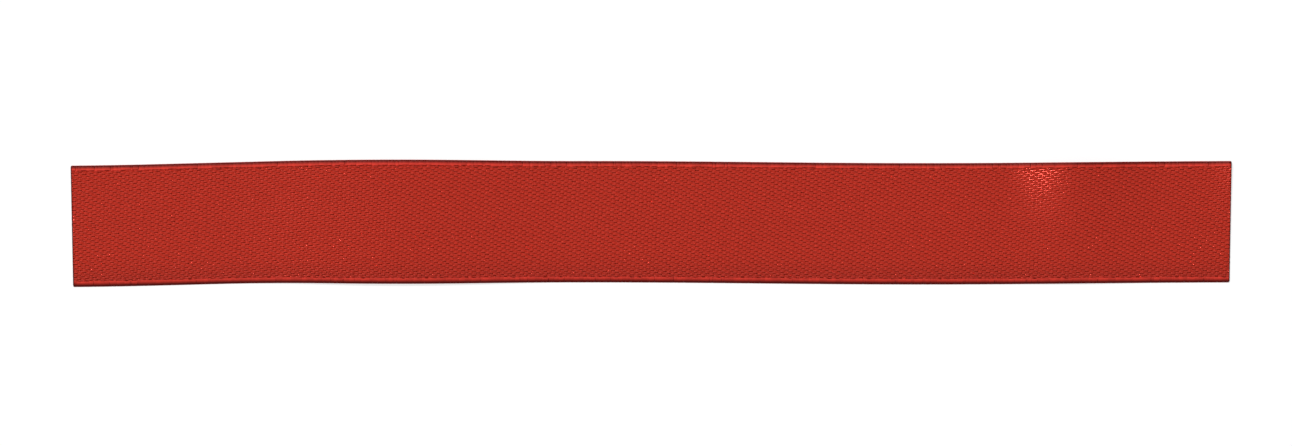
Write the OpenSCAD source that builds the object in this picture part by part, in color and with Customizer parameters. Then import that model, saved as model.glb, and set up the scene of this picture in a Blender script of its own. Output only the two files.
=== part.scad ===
// Cut length of satin gift ribbon, lying face up on a table.
// The cloth has two layers of yarn: the warp that floats over the glossy face, and the
// weft ground behind it. A woven selvedge binds each long edge, and heat has melted each
// cut end into a thin rim. X runs along the ribbon, Y across it and Z up from the table.

/* [Ribbon] */
// Length from one cut end to the other
ribbon_length = 143.5; // [120:0.5:220]
// Width over both selvedges
ribbon_width = 15; // [10:0.5:25]

/* [Cloth] */
// Thickness of the warp layer on the face
face_thickness = 0.12; // [0.08:0.01:0.2]
// Thickness of the weft layer behind it
ground_thickness = 0.12; // [0.08:0.01:0.2]

/* [Selvedges] */
// Width of the woven band along each long edge
selvedge_width = 0.85; // [0.75:0.05:1.2]
// Height of the band's crest over the satin face
selvedge_crest = 0.06; // [0.02:0.01:0.12]
// Distance from the crest to the outer edge
selvedge_fall = 0.6; // [0.3:0.05:0.7]
// Reach of the round under the outer edge, where the weft turns back
selvedge_turn = 0.12; // [0.05:0.01:0.25]

/* [Cut ends] */
// Length of the melted rim at each end
rim_length = 0.15; // [0.1:0.05:0.5]
// Height of the melted rim over the satin face
rim_crest = 0.04; // [0.02:0.01:0.12]
// Angle of the left cut from square
left_cut_angle = 1.2; // [-5:0.1:5]
// Angle of the right cut from square
right_cut_angle = -1; // [-5:0.1:5]

/* [Broad wave] */
// Height of the wave
wave_height = 0.4; // [0:0.1:3]
// Distance from its top to where it meets the table
wave_reach = 22; // [15:1:28]
// Distance from the left end to its top
wave_place = 40.5; // [30:0.5:42]
// Extra width of the cloth on top of the wave
wave_spread = 0.35; // [0:0.05:0.6]

/* [Short ripple] */
// Height of the ripple along the upper edge
ripple_height = 1.2; // [0:0.1:2]
// Height of the ripple along the lower edge
ripple_low_height = 0.15; // [0:0.05:2]
// Distance from its top to where it meets the table
ripple_reach = 10; // [8:0.5:14]
// Distance from the right end to its top
ripple_place = 18.5; // [15:0.5:24]

/* [Curled end] */
// Height that the curl would reach along the upper edge
curl_height = 0.7; // [0:0.1:2]
// Height that the curl would reach along the lower edge
curl_low_height = 0.05; // [0:0.05:2]
// Distance from its top to where it leaves the table
curl_reach = 8; // [7:0.5:14]
// Distance from the right end to the top, past the cut
curl_place = 4; // [0:0.5:6]

/* [Sway in the plane of the table] */
// How far the left end strays towards the lower edge
left_sway = 0.58; // [0:0.02:2]
// Distance over which the left end strays
left_sway_reach = 34.5; // [20:0.5:45]
// Distance from the left end to where the stray is greatest, past the cut
left_sway_place = 2.8; // [0:0.1:6]
// How far the right half strays towards the lower edge
right_sway = 0.26; // [0:0.02:2]
// Distance over which the right half strays to each side
right_sway_reach = 41; // [20:0.5:50]
// Distance from the right end to where the stray is greatest
right_sway_place = 38; // [20:0.5:50]

/* [Smoothness] */
// Length of the straight steps that the curves are made of
step_length = 1.6; // [1:0.1:4]
// Steps across the satin, from selvedge to selvedge
cross_steps = 4; // [2:1:8]
// Steps in each rounded corner
corner_steps = 5; // [3:1:8]

/* [Hidden] */

// Which side of the middle a piece lies on
upper = 1;
lower = -1;
left = -1;
right = 1;

half_length = ribbon_length / 2;
half_width = ribbon_width / 2;
cloth_thickness = ground_thickness + face_thickness;

// The woven web ends at the rims, and its satin ends at the selvedges
web_end = half_length - rim_length;
satin_edge = half_width - selvedge_width;
steps = ceil(2 * web_end / step_length);
stations = [for (i = [0:steps]) -web_end + 2 * web_end * i / steps];
across = [for (i = [0:cross_steps]) -satin_edge + 2 * satin_edge * i / cross_steps];

// The height of the turned edge is half the cloth's, and the crest stands over the face
turned_height = cloth_thickness / 2;
selvedge_height = cloth_thickness + selvedge_crest;
rim_height = cloth_thickness + rim_crest;

// A smooth rise from 0 to 1 and back, over reach on each side of place
function rise(s, place, reach) =
    abs(s - place) < reach ? (1 + cos(180 * (s - place) / reach)) / 2 : 0;

// Height over the table at s along the ribbon, for the share k of the way up its width.
// The ripple and the curl fade by the square of k, so the cloth bends across its width too.
function mixed(low, high, share) = low + (high - low) * share;
function lift(s, k) =
    wave_height * rise(s, wave_place - half_length, wave_reach)
    + mixed(ripple_low_height, ripple_height, k * k)
        * rise(s, half_length - ripple_place, ripple_reach)
    + mixed(curl_low_height, curl_height, k * k) * rise(s, half_length + curl_place, curl_reach);

// How far the middle of the ribbon strays from a straight line
function sway(s) =
    -left_sway * rise(s, -half_length - left_sway_place, left_sway_reach)
    - right_sway * rise(s, half_length - right_sway_place, right_sway_reach);

// The cloth is a little wider where the wave lifts it
function spread(s) =
    1 + wave_spread / ribbon_width * rise(s, wave_place - half_length, wave_reach);

// The cross lines turn from the left cut's angle to the right cut's
function slant(s) =
    tan(mixed(left_cut_angle, right_cut_angle, (s + half_length) / ribbon_length));

// A point of the laid cloth: s along the ribbon, t across it, h above its underside
function laid(s, t, h) =
    [s - slant(s) * t, sway(s) + spread(s) * t, lift(s, (t + half_width) / ribbon_width) + h];

// A round corner in a section, from one angle to another, less its first point
function corner(centre, reach, height, from, to) =
    [for (i = [1:corner_steps])
        let (a = from + (to - from) * i / corner_steps)
        centre + [reach * cos(a), height * sin(a)]];

// The points of a ring in turn from its start and its end, as a cap's triangles join them
function zigzag(i, sides) = i % 2 == 0 ? i / 2 : sides - (i + 1) / 2;

// A closed solid through rings of equal size.
// The second half of each ring takes the other diagonal, so that stacked layers
// share the very same triangles.
module swept(rings) {
    sides = len(rings[0]);
    last = len(rings) - 1;
    walls = [for (i = [0:last - 1], j = [0:sides - 1])
        let (a = i * sides + j, b = i * sides + (j + 1) % sides, c = b + sides, d = a + sides)
        each (j < sides / 2 ? [[a, b, c], [a, c, d]] : [[a, b, d], [b, c, d]])];
    cap = [for (i = [0:sides - 3])
        let (a = zigzag(i, sides), b = zigzag(i + 1, sides), c = zigzag(i + 2, sides))
        i % 2 == 0 ? [a, c, b] : [a, b, c]];
    first_cap = [for (f = cap) [f[0], f[2], f[1]]];
    last_cap = [for (f = cap) [for (p = f) last * sides + p]];
    polyhedron([for (ring = rings) each ring], concat(walls, first_cap, last_cap));
}

// A layer of cloth between two heights, from selvedge to selvedge and rim to rim
module layer(bottom, top) {
    swept([for (s = stations)
        concat([for (t = across) laid(s, -t, bottom)], [for (t = across) laid(s, t, top)])]);
}

// The glossy side: warp yarns that float over four picks of weft and dip under one
module satin_face() {
    color("#AC3125") layer(ground_thickness, cloth_thickness);
}

// The back: the weft, which crosses from selvedge to selvedge
module weft_ground() {
    color("#9A2B21") layer(0, ground_thickness);
}

// The woven edge: square against the satin, crested, and falling to a turned rim
module selvedge(side) {
    crest = half_width - selvedge_fall;
    profile = concat(
        [[satin_edge, 0], [satin_edge, cloth_thickness], [crest, selvedge_height]],
        corner([crest, turned_height], selvedge_fall, selvedge_height - turned_height, 90, 0),
        corner([half_width - selvedge_turn, turned_height], selvedge_turn, turned_height, 0, -90));
    ordered = side == upper ? [for (i = [len(profile) - 1:-1:0]) profile[i]] : profile;
    color("#B8392C") swept([for (s = stations) [for (p = ordered) laid(s, side * p[0], p[1])]]);
}

module upper_selvedge() { selvedge(upper); }

module lower_selvedge() { selvedge(lower); }

// The melted rim: square against the web's end, with a rounded top and bottom outside
module melted_rim(end) {
    middle = rim_height / 2;
    profile = concat(
        [[web_end, rim_height]],
        corner([web_end, middle], rim_length, middle, 90, 0),
        corner([web_end, middle], rim_length, middle, 0, -90));
    ordered = end == right ? profile : [for (i = [len(profile) - 1:-1:0]) profile[i]];
    color("#6E150F") swept([for (t = [-half_width, each across, half_width])
        [for (p = ordered) laid(end * p[0], t, p[1])]]);
}

module left_melted_rim() { melted_rim(left); }

module right_melted_rim() { melted_rim(right); }

satin_face();
weft_ground();
upper_selvedge();
lower_selvedge();
left_melted_rim();
right_melted_rim();
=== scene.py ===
"""Weaves a cut length of satin ribbon, yarn by yarn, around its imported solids.

Everything is in the part's own frame: X runs along the ribbon, Y across it and Z up from
the table. The cloth is first woven flat, as places along and across it with a height, and
one node group then lays those places in the ripples that the solids have.
"""

import math
from types import SimpleNamespace

import bpy
from bpy.props import FloatProperty, FloatVectorProperty, IntProperty, PointerProperty
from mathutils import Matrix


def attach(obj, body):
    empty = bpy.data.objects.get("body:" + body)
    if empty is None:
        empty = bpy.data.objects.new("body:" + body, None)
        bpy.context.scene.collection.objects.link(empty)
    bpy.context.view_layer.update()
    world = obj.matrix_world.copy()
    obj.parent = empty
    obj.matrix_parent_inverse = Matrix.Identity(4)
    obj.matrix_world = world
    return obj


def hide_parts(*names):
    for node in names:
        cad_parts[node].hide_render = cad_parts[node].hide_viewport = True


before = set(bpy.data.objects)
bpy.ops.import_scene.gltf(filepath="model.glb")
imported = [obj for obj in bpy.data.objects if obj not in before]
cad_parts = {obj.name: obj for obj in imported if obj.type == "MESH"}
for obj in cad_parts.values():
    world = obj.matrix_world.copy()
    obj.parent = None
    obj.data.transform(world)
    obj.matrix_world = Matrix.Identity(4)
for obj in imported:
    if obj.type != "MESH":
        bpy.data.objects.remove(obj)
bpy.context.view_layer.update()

bl_info = {
    "name": "Satin Ribbon",
    "version": (1, 0, 0),
    "blender": (4, 5, 0),
    "location": "3D View > Sidebar > Ribbon",
    "description": "Weaves a cut length of satin ribbon, yarn by yarn",
    "category": "Add Mesh",
}

MM = 0.001
UV_MAP = "OFBake"
UPPER, LOWER = 1, -1
LEFT, RIGHT = -1, 1
WHITE = (1, 1, 1, 1)

# The satin: five shafts, each end over four picks and under one
SHAFTS = 5
WARP_STEP = 2  # picks from one end's dip to the next end's
WEFT_STEP = 3  # ends from one pick's dip to the next pick's
YARN_SIDES = 6
STUB = 0.02  # how much of a yarn's length past the cut is kept, inside the melted rim


def length(name, mm, about):
    """A length that the user can change, given in millimetres."""
    return FloatProperty(
        name=name, description=about, default=mm * MM, unit="LENGTH", precision=5
    )


def angle(name, degrees, about):
    """An angle that the user can change, given in degrees."""
    return FloatProperty(
        name=name,
        description=about,
        default=math.radians(degrees),
        subtype="ANGLE",
        precision=3,
    )


def number(name, value, about):
    """A plain number that the user can change."""
    return FloatProperty(name=name, description=about, default=value, precision=3)


def count(name, value, about):
    """A count that the user can change."""
    return IntProperty(name=name, description=about, default=value, min=1)


def colour(name, value, about):
    """A colour that the user can change."""
    return FloatVectorProperty(
        name=name,
        description=about,
        default=value,
        size=3,
        min=0,
        max=1,
        subtype="COLOR",
    )


class ClothSizes(bpy.types.PropertyGroup):
    """The cut length of cloth, and how it lies on the table."""

    length: length("Length", 143.5, "From one cut end to the other")
    width: length("Width", 15, "Over both selvedges")
    middle: length("Middle", 0.12, "Height of the cloth's middle over its underside")
    rim: length("Rim", 0.15, "Length of the melted rim at each end")
    left_cut: angle("Left cut", 1.2, "Angle of the left cut from square")
    right_cut: angle("Right cut", -1, "Angle of the right cut from square")

    wave_height: length("Wave height", 0.4, "Height of the broad wave")
    wave_reach: length("Wave reach", 22, "From the wave's top to the table")
    wave_place: length("Wave place", 40.5, "From the left end to the wave's top")
    wave_spread: length("Wave spread", 0.35, "Extra width on top of the wave")

    ripple_height: length("Ripple height", 1.2, "Along the upper edge")
    ripple_low: length("Ripple low height", 0.15, "Along the lower edge")
    ripple_reach: length("Ripple reach", 10, "From the ripple's top to the table")
    ripple_place: length("Ripple place", 18.5, "From the right end to its top")

    curl_height: length("Curl height", 0.7, "Along the upper edge")
    curl_low: length("Curl low height", 0.05, "Along the lower edge")
    curl_reach: length("Curl reach", 8, "From the curl's top to the table")
    curl_place: length("Curl place", 4, "From the right end to its top, past the cut")

    left_sway: length("Left sway", 0.58, "How far the left end strays")
    left_sway_reach: length("Left sway reach", 34.5, "Over which it strays")
    left_sway_place: length("Left sway place", 2.8, "Past the left cut")
    right_sway: length("Right sway", 0.26, "How far the right half strays")
    right_sway_reach: length("Right sway reach", 41, "Over which it strays")
    right_sway_place: length("Right sway place", 38, "From the right end")

    crest_height: length("Crest height", 0.06, "Of the selvedge over the satin")
    crest_inset: length("Crest inset", 0.66, "From the outer edge to the crest")
    crest_reach: length("Crest reach", 0.25, "From the crest to the satin")
    edge_fall: length("Edge fall", 0.06, "How far the outer edge drops")
    edge_reach: length("Edge reach", 0.4, "Width of the strip that drops")
    # Painted shade: the strip along the lower edge is darkened in the colour, standing in for
    # the light falling off there
    shaded_reach: length("Dull reach", 4, "Width of the dull strip along the lower edge")


class WeaveSizes(bpy.types.PropertyGroup):
    """The yarns of the cloth and how they cross."""

    picks: count("Picks", 293, "Weft yarns along the ribbon")
    ends: count("Ends", 125, "Warp yarns across the satin")
    slant: angle("Slant", 3.5, "How far the weft leans from square")
    selvedge: length("Selvedge", 0.74, "Width of each woven edge")

    warp_width: length("Warp width", 0.114, "Of a warp yarn where it floats")
    warp_thickness: length("Warp thickness", 0.065, "Of a warp yarn")
    warp_crown: length("Warp crown", 0.03, "How far a float bows up")
    warp_stray: length("Warp stray", 0.008, "How far a warp yarn wanders to each side")
    warp_slip: length("Warp slip", 0.25, "How far its dips wander along it")
    weft_width: length("Weft width", 0.5, "Of a weft yarn")
    weft_thickness: length("Weft thickness", 0.08, "Of a weft yarn")
    weft_crimp: length("Weft crimp", 0.014, "How far the weft bows over a warp yarn")

    edge_ends: count("Edge ends", 6, "Warp yarns in each selvedge")
    edge_inset: length("Edge inset", 0.1, "From the outer edge to the first of them")
    edge_spacing: length("Edge spacing", 0.112, "Between them")
    edge_width: length("Edge width", 0.125, "Of a selvedge yarn")
    edge_crimp: length("Edge crimp", 0.055, "How far it goes over and under the weft")
    loop_width: length("Loop width", 0.72, "Of the weft where it turns at the edge")
    loop_stray: length("Loop stray", 0.12, "How far the turns stray along the edge")
    loop_thickness: length("Loop thickness", 0.05, "Of the weft there")
    loop_start: angle("Loop start", 15, "Where the turn starts, up from its inner side")
    loop_end: angle("Loop end", 280, "Where the turn ends, below the cloth")


class Colours(bpy.types.PropertyGroup):
    """The dyed yarns and the melted ends, with painted shade and a painted highlight on the
    yarns.
    """

    warp: colour("Warp", (0.34, 0.0148, 0.0038), "Of the glossy floats")
    # Painted highlight: a paler warp where a float bends down beside its dip
    warp_painted_highlight: colour("Warp shoulder", (0.82, 0.066, 0.026), "Where a float bends down")
    weft: colour("Weft", (0.40, 0.022, 0.010), "Of the ground on the back")
    # Painted shade: the top of the weft under the satin is darkened, standing in for the
    # shadow there
    weft_painted_shade: colour("Covered weft", (0.265, 0.0132, 0.005), "Of the ground under the satin")
    edge: colour("Selvedge", (0.70, 0.047, 0.030), "Of the woven edges")
    # Painted shade: the outermost turns of the selvedge are darkened, standing in for the
    # shadow as they fall away
    edge_painted_shade: colour("Turned edge", (0.05, 0.002, 0.0015), "Of the outermost turns")
    rim: colour("Melted rim", (0.10, 0.005, 0.003), "Of the melted ends")
    table: colour("Table", (0.3, 0.3, 0.3), "Of the floor")
    # Painted shade along the lower edge: on the satin and the weft, and on the lower selvedge
    lower_painted_shade: number("Dullness", 0.75, "How much darker the satin is along the lower edge")
    edge_lower_painted_shade: number("Edge dullness", 0.24, "How much darker the lower selvedge is")
    table_glow: number("Table glow", 0.76, "Of the white that the floor has of itself")


class StageSizes(bpy.types.PropertyGroup):
    """The camera and the lamps."""

    view_width: length("View width", 160, "Of the table that the camera sees")
    camera_height: length("Camera height", 2000, "Over the table")
    camera_x: length("Camera X", -0.65, "Along the ribbon")
    camera_y: length("Camera Y", -0.16, "Across the ribbon")
    sky: number("Sky", 0.285, "Strength of the even light from all round")
    lamp: number("Lamp", 112, "Power of the soft lamp, in watts")
    lamp_height: length("Lamp height", 3280, "Over the table")
    lamp_x: length("Lamp X", -1180, "Along the ribbon")
    lamp_y: length("Lamp Y", 1930, "Across the ribbon")
    lamp_size: length("Lamp size", 500, "Of the soft lamp's square")


class Wire:
    """A node's output, which can be added or multiplied as a number is."""

    def __init__(self, plan, socket):
        self.plan = plan
        self.socket = socket

    def __add__(self, other):
        return self.plan.math("ADD", self, other)

    __radd__ = __add__

    def __sub__(self, other):
        return self.plan.math("SUBTRACT", self, other)

    def __rsub__(self, other):
        return self.plan.math("SUBTRACT", other, self)

    def __mul__(self, other):
        return self.plan.math("MULTIPLY", self, other)

    __rmul__ = __mul__

    def __truediv__(self, other):
        return self.plan.math("DIVIDE", self, other)

    def __mod__(self, other):
        return self.plan.math("FLOORED_MODULO", self, other)

    def __neg__(self):
        return self.plan.math("MULTIPLY", self, -1)

    def __abs__(self):
        return self.plan.math("ABSOLUTE", self)


class Plan:
    """A node tree being drawn up: each call adds a node and wires it."""

    def __init__(self, tree):
        self.tree = tree

    def connect(self, value, socket):
        """Wires a value to a socket, or sets it there if it's a constant."""
        if isinstance(value, Wire):
            self.tree.links.new(value.socket, socket)
        else:
            socket.default_value = value

    def add(self, kind, inputs=(), output=0, **settings):
        """Adds a node, and returns one of its outputs."""
        node = self.tree.nodes.new(kind)
        for name, value in settings.items():
            setattr(node, name, value)
        for name, value in dict(inputs).items():
            self.connect(value, node.inputs[name])
        return Wire(self, node.outputs[output])

    def math(self, operation, *values):
        return self.add("ShaderNodeMath", enumerate(values), operation=operation)

    def sine(self, value):
        return self.math("SINE", value)

    def cosine(self, value):
        return self.math("COSINE", value)

    def between(self, value, low, high):
        """The value, kept between two others."""
        return self.math("MAXIMUM", low, self.math("MINIMUM", high, value))

    def choose(self, test, yes, no):
        """yes where the test is 1, and no where it is 0."""
        return test * (yes - no) + no

    def mix(self, share, colour, other):
        """A colour, with a share of another one that is the same all over."""
        return self.add(
            "ShaderNodeMix",
            {"Factor": share, "A": colour, "B": (*other, 1)},
            output="Result",
            data_type="RGBA",
        )

    def stored(self, name):
        """A number that the piece's mesh keeps, for a material."""
        return self.add("ShaderNodeAttribute", output="Fac", attribute_name=name)

    def vector(self, x, y, z):
        return self.add("ShaderNodeCombineXYZ", enumerate((x, y, z)))

    def parts(self, vector):
        """The three numbers of a vector."""
        node = self.tree.nodes.new("ShaderNodeSeparateXYZ")
        self.connect(vector, node.inputs[0])
        return [Wire(self, socket) for socket in node.outputs]


class Recipe(Plan):
    """A Geometry Nodes tree with named inputs."""

    def __init__(self, name):
        super().__init__(bpy.data.node_groups.new(name, "GeometryNodeTree"))
        self.start = self.tree.nodes.new("NodeGroupInput")
        self.end = self.tree.nodes.new("NodeGroupOutput")

    def ask(self, name, kind="NodeSocketFloat", value=None):
        """A named input of the tree."""
        made = self.tree.interface.new_socket(name, in_out="INPUT", socket_type=kind)
        if value is not None:
            made.default_value = value
        return Wire(self, self.start.outputs[name])

    def ask_all(self, sizes):
        """An input for each size in a group of properties, under the size's own name."""
        found = SimpleNamespace()
        for key in type(sizes).__annotations__:
            value = getattr(sizes, key)
            kind = "NodeSocketInt" if isinstance(value, int) else "NodeSocketFloat"
            name = sizes.bl_rna.properties[key].name
            setattr(found, key, self.ask(name, kind, value))
        return found

    def give(self, name, kind, wire):
        """A named output of the tree."""
        self.tree.interface.new_socket(name, in_out="OUTPUT", socket_type=kind)
        self.connect(wire, self.end.inputs[name])

    def group(self, tree, *values):
        """Another tree as a node: values are its first inputs."""
        node = self.tree.nodes.new("GeometryNodeGroup")
        node.node_tree = tree
        for value, socket in zip(values, node.inputs):
            self.connect(value, socket)
        return Wire(self, node.outputs[0])

    def read(self, name):
        return self.add(
            "GeometryNodeInputNamedAttribute", {"Name": name}, data_type="FLOAT"
        )

    def store(self, geometry, name, value, data_type="FLOAT", domain="POINT"):
        return self.add(
            "GeometryNodeStoreNamedAttribute",
            {"Geometry": geometry, "Name": name, "Value": value},
            data_type=data_type,
            domain=domain,
        )

    def wander(self, along, across, size):
        """A smooth random offset of up to about a size, to each side."""
        noise = self.add(
            "ShaderNodeTexNoise",
            {"Vector": self.vector(along, across, 0), "Scale": 1},
            noise_dimensions="2D",
        )
        return (noise - 0.5) * 2 * size

    def place(self, geometry, position):
        return self.add(
            "GeometryNodeSetPosition", {"Geometry": geometry, "Position": position}
        )

    def finish(self, geometry, material):
        """Ends the tree: plain mesh, smooth, with its material."""
        real = self.add("GeometryNodeRealizeInstances", {"Geometry": geometry})
        smooth = self.add("GeometryNodeSetShadeSmooth", {"Geometry": real})
        done = self.add(
            "GeometryNodeSetMaterial", {"Geometry": smooth, "Material": material}
        )
        self.give("Geometry", "NodeSocketGeometry", done)


def rise(plan, s, place, reach):
    """A smooth rise from 0 to 1 and back, over reach on each side of place."""
    share = plan.between((s - place) / reach, -1, 1)
    return plan.cosine(share * math.pi) * 0.5 + 0.5


def lay_tree(sizes):
    """The group that lays the flat cloth: along, across and height to a place."""
    plan = Recipe("Lay the cloth")
    s, t, h = (plan.ask(name) for name in ("Along", "Across", "Height"))
    c = plan.ask_all(sizes)
    left, right = c.length * -0.5, c.length * 0.5
    edge = c.width * 0.5

    # The ripple and the curl grow by the square of the way up the width
    up = t / c.width + 0.5
    up = up * up

    wave = rise(plan, s, left + c.wave_place, c.wave_reach)
    ripple = rise(plan, s, right - c.ripple_place, c.ripple_reach)
    curl = rise(plan, s, right + c.curl_place, c.curl_reach)
    lift = (
        wave * c.wave_height
        + ripple * plan.choose(up, c.ripple_height, c.ripple_low)
        + curl * plan.choose(up, c.curl_height, c.curl_low)
    )

    left_stray = rise(plan, s, left - c.left_sway_place, c.left_sway_reach)
    right_stray = rise(plan, s, right - c.right_sway_place, c.right_sway_reach)
    sway = -(left_stray * c.left_sway + right_stray * c.right_sway)
    spread = wave * c.wave_spread / c.width + 1
    turn = plan.choose(s / c.length + 0.5, c.right_cut, c.left_cut)
    slant = plan.math("TANGENT", turn)

    inset = edge - abs(t)
    crest = rise(plan, inset, c.crest_inset, c.crest_reach) * c.crest_height
    outside = plan.math("MAXIMUM", 0, 1 - inset / c.edge_reach)
    fall = outside * outside * c.edge_fall

    place = plan.vector(s - slant * t, sway + spread * t, lift + crest - fall + h)
    plan.give("Position", "NodeSocketVector", place)
    return plan.tree


def yarns(plan, number_of, rings, sides, low=0.0, high=1.0):
    """A row of closed tubes that remember where each of their points is.

    Their UV map lies between the heights low and high.

    Returns the tubes, the number of the yarn, the ring along it and the angle round it.
    """
    tube = plan.tree.nodes.new("GeometryNodeMeshCylinder")
    tube.fill_type = "NGON"
    for name, value in (
        ("Vertices", sides),
        ("Side Segments", rings),
        ("Radius", 1),
        ("Depth", 1),
    ):
        plan.connect(value, tube.inputs[name])
    x, y, z = plan.parts(plan.add("GeometryNodeInputPosition"))
    mesh = plan.store(Wire(plan, tube.outputs["Mesh"]), "along", z + 0.5)
    mesh = plan.store(mesh, "around", plan.math("ARCTAN2", y, x))
    mesh = plan.store(
        mesh, UV_MAP, Wire(plan, tube.outputs["UV Map"]), "FLOAT2", "CORNER"
    )
    mesh = plan.place(mesh, plan.vector(0, 0, 0))
    row = plan.add(
        "GeometryNodeMeshLine",
        {"Count": number_of, "Start Location": (0, 0, 0), "Offset": (0, 1, 0)},
    )
    row = plan.add("GeometryNodeInstanceOnPoints", {"Points": row, "Instance": mesh})
    row = plan.add("GeometryNodeRealizeInstances", {"Geometry": row})
    _, yarn, _ = plan.parts(plan.add("GeometryNodeInputPosition"))
    row = plan.store(row, "yarn", plan.math("ROUND", yarn))
    row = plan.store(row, UV_MAP, own_strip(plan, number_of, low, high), "FLOAT2", "CORNER")
    ring = plan.math("ROUND", plan.read("along") * rings)
    return row, plan.read("yarn"), ring, plan.read("around")


def own_strip(plan, number_of, low, high):
    """A place on the UV map: a strip for each yarn, with its two caps at the strip's ends."""
    caps_below = 0.499  # on a cylinder's own UV map, caps lie below this height
    cap = 0.01  # share of the strip's length for each cap
    raw = plan.add(
        "GeometryNodeInputNamedAttribute", {"Name": UV_MAP}, data_type="FLOAT_VECTOR"
    )
    u, v, _ = plan.parts(raw)
    along = plan.read("along")
    on_cap = plan.math("LESS_THAN", v, caps_below)
    place = plan.choose(
        on_cap, along * (1 - cap) + v * (2 * cap), along * (1 - 2 * cap) + cap
    )
    share = (plan.read("yarn") + u) / number_of
    return plan.vector(place, plan.choose(share, high, low), 0)


def keep_painted_shade(plan, mesh, t, cloth):
    """Stores the share of painted shade, darker towards the lower edge: 1 at the edge, and 0
    past the shaded strip.
    """
    share = plan.math("MAXIMUM", 0, 1 - (t + cloth.width * 0.5) / cloth.shaded_reach)
    return plan.store(mesh, "shaded", share * share)


def cut_at_ends(plan, s, cloth):
    """s kept between the rims, and with a short stub inside the rim."""
    end = cloth.length * 0.5 - cloth.rim
    kept = plan.between(s, -end, end)
    return kept, kept + (s - kept) * STUB


def warp_tree(lay, cloth_sizes, weave_sizes):
    """One shaft of the satin warp: every fifth end, over four picks and under one."""
    plan = Recipe("Satin warp")
    shaft = plan.ask("Shaft", "NodeSocketInt", 0)
    material = plan.ask("Material", "NodeSocketMaterial")
    c, w = plan.ask_all(cloth_sizes), plan.ask_all(weave_sizes)

    rings_each = 10  # rings in a repeat of five picks
    early = 1.5  # repeats that start before the cut
    crowding = 0.4  # picks by which rings move towards the dip
    along_rate, across_rate = 0.22, 0.15  # of the wandering, for each pick and end
    slip_row, stray_row = 50, 0  # places in the noise, far apart
    opening = 1.25  # picks from the dip to where the yarn has its full width
    pinch = 0.1  # half of the share of its width that it loses in the dip
    repeats = plan.math("CEIL", w.picks / SHAFTS + 2 * early)
    mine = plan.math("FLOOR", (w.ends - 1 - shaft) / SHAFTS) + 1
    mesh, yarn, ring, around = yarns(plan, mine, repeats * rings_each, YARN_SIDES)

    satin = c.width - 2 * w.selvedge
    pick, end = c.length / w.picks, satin / w.ends
    lean = plan.math("TANGENT", w.slant)
    number_across = yarn * SHAFTS + shaft
    t = (number_across + 0.5) * end - satin * 0.5

    # Rings crowd round the dip, where the yarn bends most
    share = ring / rings_each - early
    crowd = plan.sine(share * math.tau) * crowding
    dip = (shaft * WARP_STEP) % SHAFTS
    q = share * SHAFTS - crowd + dip
    slip, beside = (
        plan.wander(q * along_rate, number_across * across_rate + row, size)
        for row, size in ((slip_row, w.warp_slip), (stray_row, w.warp_stray))
    )
    start = c.length * 0.5 - lean * t - pick * 0.5
    kept, s = cut_at_ends(plan, q * pick - start - slip, c)
    u = (kept + start + slip) / pick - dip
    u = u - plan.math("ROUND", u / SHAFTS) * SHAFTS

    turn = u * (math.tau / SHAFTS)
    depth = (w.warp_thickness + w.weft_thickness) * 0.5
    under = plan.math("MINIMUM", abs(u), 1)
    crown = (1 - plan.cosine(turn)) * 0.5 * w.warp_crown
    h = c.middle - plan.cosine(under * math.pi) * depth + crown
    open_share = plan.math("MINIMUM", abs(u) / opening, 1)
    full = (1 - pinch) - plan.cosine(open_share * math.pi) * pinch
    across = plan.cosine(around) * w.warp_width * full * 0.5
    above = plan.sine(around) * w.warp_thickness * 0.5
    mesh = plan.place(mesh, plan.group(lay, s, t + beside + across, h + above))
    mesh = keep_painted_shade(plan, mesh, t, c)
    mesh = plan.store(mesh, "from_dip", abs(u))
    mesh = plan.store(mesh, "yarn", number_across)
    plan.finish(mesh, material)
    return plan.tree


def weft_tree(lay, cloth_sizes, weave_sizes):
    """The weft: one pick after another, from selvedge to selvedge."""
    plan = Recipe("Ground weft")
    material = plan.ask("Material", "NodeSocketMaterial")
    c, w = plan.ask_all(cloth_sizes), plan.ask_all(weave_sizes)

    early = 1  # picks past each cut, of which only a corner is left
    apart = SHAFTS / 2  # ends between rings: one ring at each dip, and one halfway on
    spare = 3  # rings past the satin's two edges
    rings = plan.math("CEIL", w.ends / apart + spare)
    mesh, yarn, ring, around = yarns(plan, w.picks + 2 * early, rings, YARN_SIDES)
    pick_number = yarn - early

    satin = c.width - 2 * w.selvedge
    pick, end = c.length / w.picks, satin / w.ends
    lean = plan.math("TANGENT", w.slant)
    first = (pick_number * WEFT_STEP) % SHAFTS
    t = (first + ring * apart - SHAFTS + 0.5) * end - satin * 0.5
    outer = c.width * 0.5 - w.edge_inset
    t = plan.choose(plan.math("LESS_THAN", ring, 0.5), -outer, t)
    t = plan.choose(plan.math("GREATER_THAN", ring, rings - 0.5), outer, t)

    # A pick leans, so near a cut only part of it is left
    middle = (pick_number + 0.5) * pick - c.length * 0.5
    web = c.length * 0.5 - c.rim + w.weft_width * 0.5
    low = plan.between((-web - middle) / lean, -outer, outer)
    high = plan.between((web - middle) / lean, -outer, outer)
    kept = plan.between(t, low, high)
    t = kept + (t - kept) * STUB

    over = plan.cosine(ring * math.pi) * w.weft_crimp
    above = -plan.sine(around) * w.weft_thickness * 0.5
    along = plan.cosine(around) * w.weft_width * 0.5
    h = c.middle + over + above
    _, s = cut_at_ends(plan, middle + lean * kept + along, c)
    mesh = plan.place(mesh, plan.group(lay, s, t, h))
    mesh = keep_painted_shade(plan, mesh, kept, c)
    # Painted shade: the top of each pick is marked for darkening where the satin covers it
    under_satin = plan.between((satin * 0.5 - abs(kept)) / end - 0.5, 0, 1)
    mesh = plan.store(mesh, "top_painted_shade", under_satin * -plan.sine(around))
    plan.finish(mesh, material)
    return plan.tree


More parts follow.
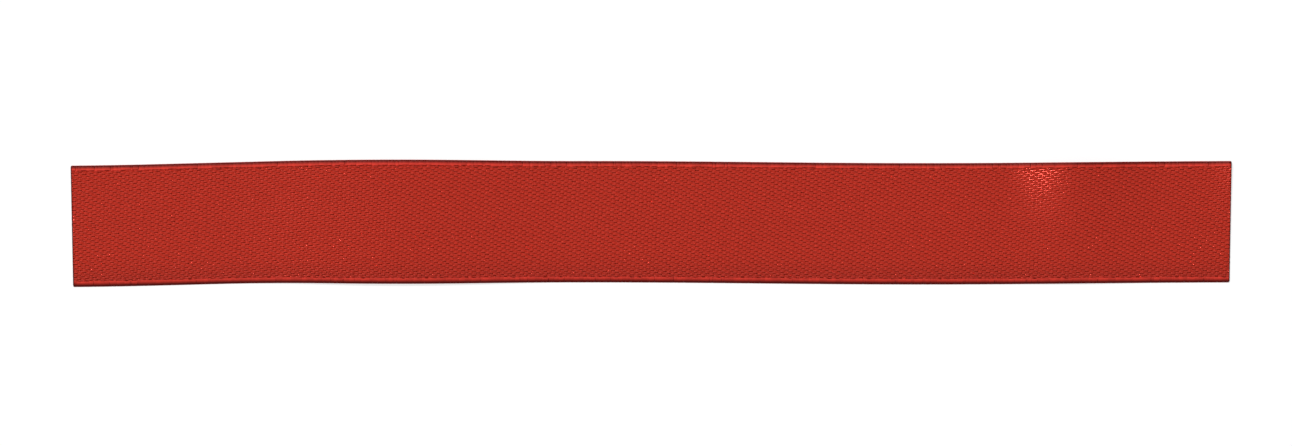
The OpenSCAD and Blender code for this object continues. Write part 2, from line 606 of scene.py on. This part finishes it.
def edge_tree(lay, cloth_sizes, weave_sizes):
    """A selvedge: ends that go over one pick and under the next, and the weft's turns."""
    plan = Recipe("Selvedge")
    side = plan.ask("Side", "NodeSocketInt", UPPER)
    material = plan.ask("Material", "NodeSocketMaterial")
    c, w = plan.ask_all(cloth_sizes), plan.ask_all(weave_sizes)
    pick = c.length / w.picks
    lean = plan.math("TANGENT", w.slant)
    outer = c.width * 0.5

    rings_each = 3  # rings in each pick
    early = 3  # picks that start before the cut
    ends_share = 0.2  # of the UV map, under the loops' share
    picks = w.picks + 2 * early
    mesh, yarn, ring, around = yarns(
        plan, w.edge_ends, picks * rings_each, YARN_SIDES, high=ends_share
    )
    inset = w.edge_inset + yarn * w.edge_spacing
    t = side * (outer - inset)
    q = ring / rings_each - early
    kept, s = cut_at_ends(plan, (q + 0.5) * pick - c.length * 0.5 + lean * t, c)
    q = (kept + c.length * 0.5 - lean * t) / pick - 0.5
    over = plan.cosine((q + yarn) * math.pi) * w.edge_crimp
    across = plan.cosine(around) * w.edge_width * 0.5
    above = plan.sine(around) * w.warp_thickness * 0.5
    mesh = plan.place(mesh, plan.group(lay, s, t + across, c.middle + over + above))
    mesh = keep_painted_shade(plan, mesh, t, c)
    ends = plan.store(mesh, "inset", inset)

    # No two turns start, rise or spread quite alike
    rings, sides = 12, 8
    start_spread, rise_spread, width_spread = 0.7, 0.3, 0.2
    mesh, yarn, _, around = yarns(plan, picks, rings, sides, low=ends_share)
    side_seed = side * 0.5
    chance, other = (
        plan.add("ShaderNodeTexWhiteNoise", {"W": yarn + seed}, noise_dimensions="1D")
        for seed in (side_seed, side_seed + 0.25)
    )
    start = w.loop_start + chance * start_spread
    turn = plan.choose(plan.read("along"), w.loop_end, start)
    reach = w.selvedge * 0.5
    inset = reach + plan.cosine(turn) * reach
    rest = w.edge_crimp + w.warp_thickness * 0.5
    rest = rest * (chance * rise_spread + (1 - rise_spread / 2))
    thick = plan.cosine(around) * w.loop_thickness * 0.5
    inset = inset + plan.cosine(turn) * thick
    h = c.middle + plan.sine(turn) * (rest + thick)
    t = side * (outer - inset)
    middle = (yarn - early + 0.5) * pick - c.length * 0.5 + lean * t
    spread = chance * width_spread + (1 - width_spread) / 2
    along = plan.sine(around) * side * w.loop_width * spread
    _, s = cut_at_ends(plan, middle + along + (other - 0.5) * w.loop_stray, c)
    mesh = plan.place(mesh, plan.group(lay, s, t, h))
    mesh = keep_painted_shade(plan, mesh, t, c)
    loops = plan.store(mesh, "inset", inset)

    join = plan.tree.nodes.new("GeometryNodeJoinGeometry")
    for part in (ends, loops):
        plan.connect(part, join.inputs[0])
    plan.finish(Wire(plan, join.outputs[0]), material)
    return plan.tree


def rim_tree(lay, cloth_sizes, weave_sizes):
    """A cut end: yarns that heat has drawn into one lumpy bead."""
    plan = Recipe("Melted rim")
    end = plan.ask("End", "NodeSocketInt", RIGHT)
    material = plan.ask("Material", "NodeSocketMaterial")
    c, w = plan.ask_all(cloth_sizes), plan.ask_all(weave_sizes)
    rings, sides = 240, 12
    lump_rate, lump_depth = 40, 0.5  # lumps along the rim, and how much they swell it
    end_seed = 7
    taper = 60  # the bead closes over one part in this many of its length
    mesh, _, _, around = yarns(plan, 1, rings, sides)
    share = plan.read("along")
    t = (share - 0.5) * c.width
    lumps = plan.add(
        "ShaderNodeTexNoise",
        {"W": share * lump_rate + end * end_seed, "Scale": 1, "Detail": 3},
        noise_dimensions="1D",
    )
    full = lumps * lump_depth + (1 - lump_depth / 2)
    from_side = plan.math("MINIMUM", share, 1 - share)
    closing = plan.math("MINIMUM", 1, from_side * taper)
    full = full * plan.math("SQRT", closing)
    s = end * (c.length * 0.5 - c.rim * 0.5)
    along = plan.sine(around) * c.rim * 0.5 * full
    above = plan.cosine(around) * (c.middle + w.warp_crown) * full
    h = plan.math("MAXIMUM", 0, c.middle + above)
    mesh = plan.place(mesh, plan.group(lay, s + along, t, h))
    plan.finish(mesh, material)
    return plan.tree


def grow(name, tree, **values):
    """Evaluates a tree with its own values, and keeps the plain mesh as a piece."""
    seed = bpy.data.objects.new(name + ".seed", bpy.data.meshes.new(name + ".seed"))
    bpy.context.collection.objects.link(seed)
    modifier = seed.modifiers.new(tree.name, "NODES")
    modifier.node_group = tree
    for item in tree.interface.items_tree:
        if item.item_type == "SOCKET" and item.name in values:
            modifier[item.identifier] = values[item.name]
    graph = bpy.context.evaluated_depsgraph_get()
    mesh = bpy.data.meshes.new_from_object(seed.evaluated_get(graph), depsgraph=graph)
    seed.modifiers.clear()
    bpy.data.objects.remove(seed)
    if not mesh.polygons:
        raise RuntimeError(f"{name} came out empty")
    mesh.name = name
    piece = bpy.data.objects.new(name, mesh)
    bpy.context.collection.objects.link(piece)
    return piece


def dyed(name, tone, lower_painted_shade=0, yarn_tone=0.08, streak_tone=0.1):
    """A dyed filament yarn: each yarn a little paler or darker, with fine streaks, and with
    painted shade along the lower edge of the cloth.

    Returns the material, its plan, its shader node and the colour so far.
    """
    streaks_along, streaks_around = 90, 3  # how fast the streaks change
    material = bpy.data.materials.new(name)
    material.use_nodes = True
    plan = Plan(material.node_tree)
    shader = material.node_tree.nodes["Principled BSDF"]
    yarn, along, around, shaded = (
        plan.stored(key) for key in ("yarn", "along", "around", "shaded")
    )
    each = plan.add("ShaderNodeTexWhiteNoise", {"W": yarn}, noise_dimensions="1D")
    place = plan.vector(
        along * streaks_along, plan.cosine(around) * streaks_around, yarn
    )
    streak = plan.add("ShaderNodeTexNoise", {"Vector": place, "Scale": 1})
    tint = 1 + (each - 0.5) * yarn_tone + (streak - 0.5) * streak_tone
    # Painted shade: darker towards the lower edge
    tint = tint * (1 - shaded * lower_painted_shade)
    shade = plan.add(
        "ShaderNodeMix",
        {"Factor": 1.0, "A": (*tone, 1), "B": plan.vector(tint, tint, tint)},
        output="Result",
        data_type="RGBA",
        blend_type="MULTIPLY",
    )
    return material, plan, shader, shade


def plain_inputs(shader, **values):
    """Sets numbers and colours that are the same all over the surface."""
    for name, value in values.items():
        shader.inputs[name.replace("_", " ")].default_value = value


def settings():
    """The property groups of the scene."""
    return bpy.context.scene.ribbon


def made_lay():
    """The group that lays the cloth, made once."""
    return bpy.data.node_groups.get("Lay the cloth") or lay_tree(settings().cloth)


class RIBBON_OT_weft(bpy.types.Operator):
    """Lays the weft, which is the ground of the cloth and its back"""

    bl_idname = "ribbon.weft"
    bl_label = "Lay the Weft"

    def execute(self, context):
        made = settings()
        material, plan, shader, shade = dyed(
            "Ground weft", made.colours.weft, made.colours.lower_painted_shade
        )
        deepening = 2  # how soon the ground darkens as the satin covers it
        # Painted shade: the weft's top is darkened under the satin
        share = plan.between(plan.stored("top_painted_shade") * deepening, 0, 1)
        shade = plan.mix(share, shade, made.colours.weft_painted_shade)
        plan.connect(shade, shader.inputs["Base Color"])
        plain_inputs(
            shader,
            Roughness=0.55,
            Specular_IOR_Level=0.3,
            Specular_Tint=(1, 0.14, 0.11, 1),
        )
        tree = weft_tree(made_lay(), made.cloth, made.weave)
        piece = grow("weft", tree, Material=material)
        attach(piece, "root")
        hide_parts("weft_ground")
        return {"FINISHED"}


class RIBBON_OT_warp(bpy.types.Operator):
    """Weaves the satin warp, one shaft of ends after another"""

    bl_idname = "ribbon.warp"
    bl_label = "Weave the Satin Warp"

    def execute(self, context):
        made = settings()
        material, plan, shader, shade = dyed(
            "Satin warp", made.colours.warp, made.colours.lower_painted_shade
        )
        # The roughness and a painted highlight change with the distance from the dip, in
        # picks
        shoulder, shoulder_reach = 0.5, 0.28
        matt_from, gloss_from, sharpness = 1.1, 1.8, 8
        near_roughness, matt_roughness, gloss_roughness = 0.6, 0.95, 0.21
        picks = plan.stored("from_dip")
        # Painted highlight: the warp is paler on each shoulder beside the dip, standing in
        # for light it catches there
        highlight_share = rise(plan, picks, shoulder, shoulder_reach)
        shade = plan.mix(highlight_share, shade, made.colours.warp_painted_highlight)
        plan.connect(shade, shader.inputs["Base Color"])
        glossy = plan.between((picks - gloss_from) * sharpness, 0, 1)
        near = plan.between((matt_from - picks) * sharpness, 0, 1)
        rough = plan.choose(near, near_roughness, matt_roughness)
        rough = plan.choose(glossy, gloss_roughness, rough)
        plan.connect(rough, shader.inputs["Roughness"])
        plain_inputs(
            shader,
            IOR=2.5,
            Specular_IOR_Level=1.0,
            Specular_Tint=(1, 0.12, 0.09, 1),
        )
        tree = warp_tree(made_lay(), made.cloth, made.weave)
        for shaft in range(SHAFTS):
            piece = grow(
                f"warp_shaft_{shaft + 1}", tree, Shaft=shaft, Material=material
            )
            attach(piece, "root")
            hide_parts("satin_face")
        return {"FINISHED"}


class RIBBON_OT_selvedges(bpy.types.Operator):
    """Weaves the two selvedges, where the weft turns back"""

    bl_idname = "ribbon.selvedges"
    bl_label = "Weave the Selvedges"

    def execute(self, context):
        made = settings()
        material, plan, shader, shade = dyed(
            "Selvedge", made.colours.edge, made.colours.edge_lower_painted_shade, yarn_tone=0.3
        )
        # Painted shade: the turns are darkened on the outer edge, where they fall away from
        # the light, except for a thin lip
        dark_to, fade, lip = 0.51 * MM, 0.34 * MM, 0.05 * MM
        inset = plan.stored("inset")
        share = plan.between((dark_to - inset) / fade, 0, 1)
        share = share * plan.between(inset / lip, 0, 1)
        shade = plan.mix(share, shade, made.colours.edge_painted_shade)
        plan.connect(shade, shader.inputs["Base Color"])
        plain_inputs(
            shader,
            Roughness=0.45,
            Specular_IOR_Level=0.4,
            Specular_Tint=(1, 0.2, 0.17, 1),
        )
        tree = edge_tree(made_lay(), made.cloth, made.weave)
        for name, side, node in (
            ("upper_edge_weave", UPPER, "upper_selvedge"),
            ("lower_edge_weave", LOWER, "lower_selvedge"),
        ):
            piece = grow(name, tree, Side=side, Material=material)
            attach(piece, "root")
            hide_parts(node)
        return {"FINISHED"}


class RIBBON_OT_rims(bpy.types.Operator):
    """Melts the two cut ends into thin rims"""

    bl_idname = "ribbon.rims"
    bl_label = "Melt the Cut Ends"

    def execute(self, context):
        made = settings()
        material, plan, shader, shade = dyed("Melted yarn", made.colours.rim)
        plan.connect(shade, shader.inputs["Base Color"])
        plain_inputs(
            shader,
            Roughness=0.6,
            Specular_IOR_Level=0.2,
            Specular_Tint=(1, 0.25, 0.2, 1),
        )
        tree = rim_tree(made_lay(), made.cloth, made.weave)
        for name, end, node in (
            ("left_cut_rim", LEFT, "left_melted_rim"),
            ("right_cut_rim", RIGHT, "right_melted_rim"),
        ):
            piece = grow(name, tree, End=end, Material=material)
            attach(piece, "root")
            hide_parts(node)
        return {"FINISHED"}


def seen_plainly(plan):
    """1 for what the camera sees, itself or in gloss and glass, and 0 for other light."""
    rays = [
        plan.add("ShaderNodeLightPath", output=name)
        for name in ("Is Camera Ray", "Is Glossy Ray", "Is Transmission Ray")
    ]
    return plan.between(sum(rays[1:], rays[0]), 0, 1)


class RIBBON_OT_stage(bpy.types.Operator):
    """Sets the table, the light and the camera"""

    bl_idname = "ribbon.stage"
    bl_label = "Set the Stage"

    def execute(self, context):
        made = settings()
        self.table(made.colours)
        self.sky(context.scene, made.stage.sky)
        self.lamp(made.stage)
        self.camera(context.scene, made.stage)
        context.scene.view_settings.view_transform = "Standard"
        return {"FINISHED"}

    def table(self, colours):
        """A wide pale table that reads as white, and keeps the ribbon's shadow."""
        reach = 6  # metres from the middle to each side
        mesh = bpy.data.meshes.new("table")
        corners = [(-1, -1), (1, -1), (1, 1), (-1, 1)]
        mesh.from_pydata([(x * reach, y * reach, 0) for x, y in corners], [], [range(4)])
        table = bpy.data.objects.new("table", mesh)
        bpy.context.collection.objects.link(table)
        material = bpy.data.materials.new("Table")
        material.use_nodes = True
        plan = Plan(material.node_tree)
        shader = material.node_tree.nodes["Principled BSDF"]
        plain_inputs(
            shader,
            Base_Color=(*colours.table, 1),
            Roughness=0.9,
            Specular_IOR_Level=0.0,
        )
        plan.connect(WHITE, shader.inputs["Emission Color"])
        glow = seen_plainly(plan) * colours.table_glow
        plan.connect(glow, shader.inputs["Emission Strength"])
        mesh.materials.append(material)
        table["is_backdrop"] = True

    def sky(self, scene, strength):
        """Even white light, and a white background for the camera."""
        world = bpy.data.worlds.new("Sky")
        world.use_nodes = True
        plan = Plan(world.node_tree)
        background = world.node_tree.nodes["Background"]
        seen = plan.choose(seen_plainly(plan), 1, strength)
        plan.connect(WHITE, background.inputs["Color"])
        plan.connect(seen, background.inputs["Strength"])
        scene.world = world

    def lamp(self, stage):
        """A soft square lamp that points at the ribbon."""
        data = bpy.data.lights.new("soft lamp", "AREA")
        data.energy = stage.lamp
        data.size = stage.lamp_size
        lamp = bpy.data.objects.new("soft lamp", data)
        bpy.context.collection.objects.link(lamp)
        lamp.location = (stage.lamp_x, stage.lamp_y, stage.lamp_height)
        lamp.rotation_euler = (-lamp.location).to_track_quat("-Z", "Y").to_euler()

    def camera(self, scene, stage):
        """A long lens, straight over the ribbon."""
        data = bpy.data.cameras.new("camera")
        data.lens = data.sensor_width * stage.camera_height / stage.view_width
        camera = bpy.data.objects.new("camera", data)
        bpy.context.collection.objects.link(camera)
        camera.location = (stage.camera_x, stage.camera_y, stage.camera_height)
        scene.camera = camera


class RibbonSettings(bpy.types.PropertyGroup):
    """All that a user can change."""

    cloth: PointerProperty(type=ClothSizes)
    weave: PointerProperty(type=WeaveSizes)
    colours: PointerProperty(type=Colours)
    stage: PointerProperty(type=StageSizes)


OPERATORS = (
    RIBBON_OT_weft,
    RIBBON_OT_warp,
    RIBBON_OT_selvedges,
    RIBBON_OT_rims,
    RIBBON_OT_stage,
)


class RIBBON_PT_panel(bpy.types.Panel):
    """Lists the sizes, the colours and the steps"""

    bl_label = "Satin Ribbon"
    bl_idname = "RIBBON_PT_panel"
    bl_space_type = "VIEW_3D"
    bl_region_type = "UI"
    bl_category = "Ribbon"

    def draw(self, context):
        made = context.scene.ribbon
        for group in (made.cloth, made.weave, made.colours, made.stage):
            box = self.layout.box()
            for key in type(group).__annotations__:
                box.prop(group, key)
        for operator in OPERATORS:
            self.layout.operator(operator.bl_idname)


CLASSES = (
    ClothSizes,
    WeaveSizes,
    Colours,
    StageSizes,
    RibbonSettings,
    *OPERATORS,
    RIBBON_PT_panel,
)


def register():
    for each in CLASSES:
        bpy.utils.register_class(each)
    bpy.types.Scene.ribbon = PointerProperty(type=RibbonSettings)


def unregister():
    del bpy.types.Scene.ribbon
    for each in reversed(CLASSES):
        bpy.utils.unregister_class(each)


def main():
    register()
    bpy.ops.ribbon.stage()
    bpy.ops.ribbon.weft()
    bpy.ops.ribbon.warp()
    bpy.ops.ribbon.selvedges()
    bpy.ops.ribbon.rims()


if __name__ == "__main__":
    main()
